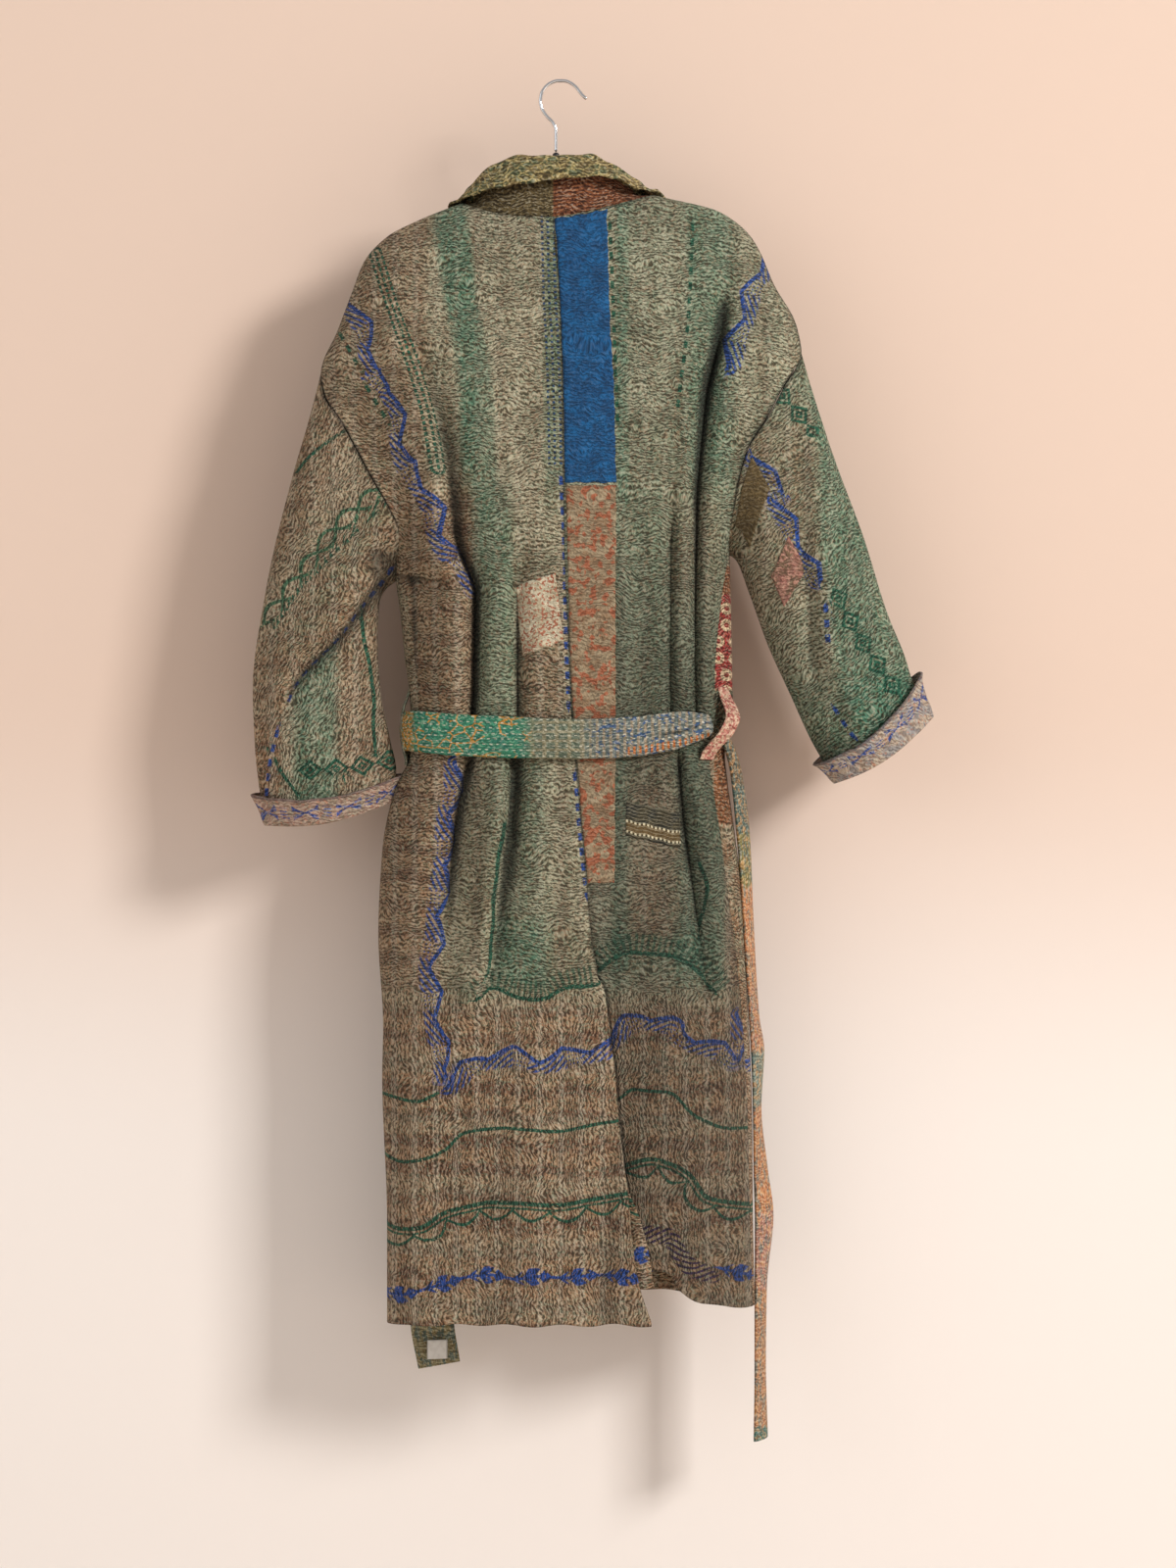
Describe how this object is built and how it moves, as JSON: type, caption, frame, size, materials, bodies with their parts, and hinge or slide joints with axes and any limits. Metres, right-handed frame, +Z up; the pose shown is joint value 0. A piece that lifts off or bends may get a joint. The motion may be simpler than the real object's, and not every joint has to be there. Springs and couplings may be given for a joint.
{
  "type": "quilted patchwork robe coat on a hanger",
  "caption": "Long quilted patchwork robe coat with shawl collar, turned-up cuffs and belt, hanging open on a hook hanger.",
  "frame": {"origin": "inner top of the hanger's hook, where the coat is held", "axes": "+Z up, +Y towards the back of the coat, +X towards the wearer's left"},
  "size_m": [0.6485, 0.148, 1.2964],
  "materials": {
    "back_left": "kantha quilted cotton, olive, beige and brown checks",
    "back_right": "kantha quilted cotton, olive and green bands over brown checks",
    "front_left": "kantha quilted cotton, brown",
    "front_right": "kantha quilted cotton, rust, red and olive prints",
    "sleeve_left": "kantha quilted cotton, olive and brown",
    "sleeve_right": "kantha quilted cotton, olive and green",
    "cuff_left": "quilted cotton, pale pink beige with cobalt motifs",
    "cuff_right": "quilted cotton, pale beige with cobalt motifs",
    "collar": "quilted cotton, olive with a net of yellow stitches",
    "vent_flap": "kantha quilted cotton, brown and blue",
    "belt": "quilted cotton, teal with ochre stitches and checks",
    "belt_tail_left": "quilted cotton, green and tan plaid",
    "belt_tail_right": "quilted cotton, peach, orange and grey green",
    "belt_label": "plain woven tape, white",
    "belt_loop_left": "cotton, grey green",
    "belt_loop_right": "cotton, pink and cream print",
    "patch_blue": "cotton patch, blue",
    "patch_paisley": "cotton patch, rust and beige print",
    "patch_white": "cotton patch, off-white with red specks",
    "patch_dark": "cotton patch, dark olive with pale stitch rows",
    "patch_brown": "cotton patch, brown",
    "patch_pink": "cotton patch, dusty pink and brown",
    "hanger_hook": "polished wire",
    "hanger_black": "black plastic"
  },
  "bodies": {
    "root": {"back_left": "back_left", "back_right": "back_right", "front_left": "front_left", "front_right": "front_right", "sleeve_left": "sleeve_left", "sleeve_right": "sleeve_right", "cuff_left": "cuff_left", "cuff_right": "cuff_right", "collar": "collar", "vent_flap": "vent_flap", "belt": "belt", "belt_tail_left": "belt_tail_left", "belt_tail_right": "belt_tail_right", "belt_label": "belt_label", "belt_loop_left": "belt_loop_left", "belt_loop_right": "belt_loop_right", "patch_blue": "patch_blue", "patch_paisley": "patch_paisley", "patch_white": "patch_white", "patch_dark": "patch_dark", "patch_brown": "patch_brown", "patch_pink": "patch_pink", "hanger_hook": "hanger_hook", "hanger_neck": "hanger_black", "hanger_arms": "hanger_black"}
  },
  "joints": []
}
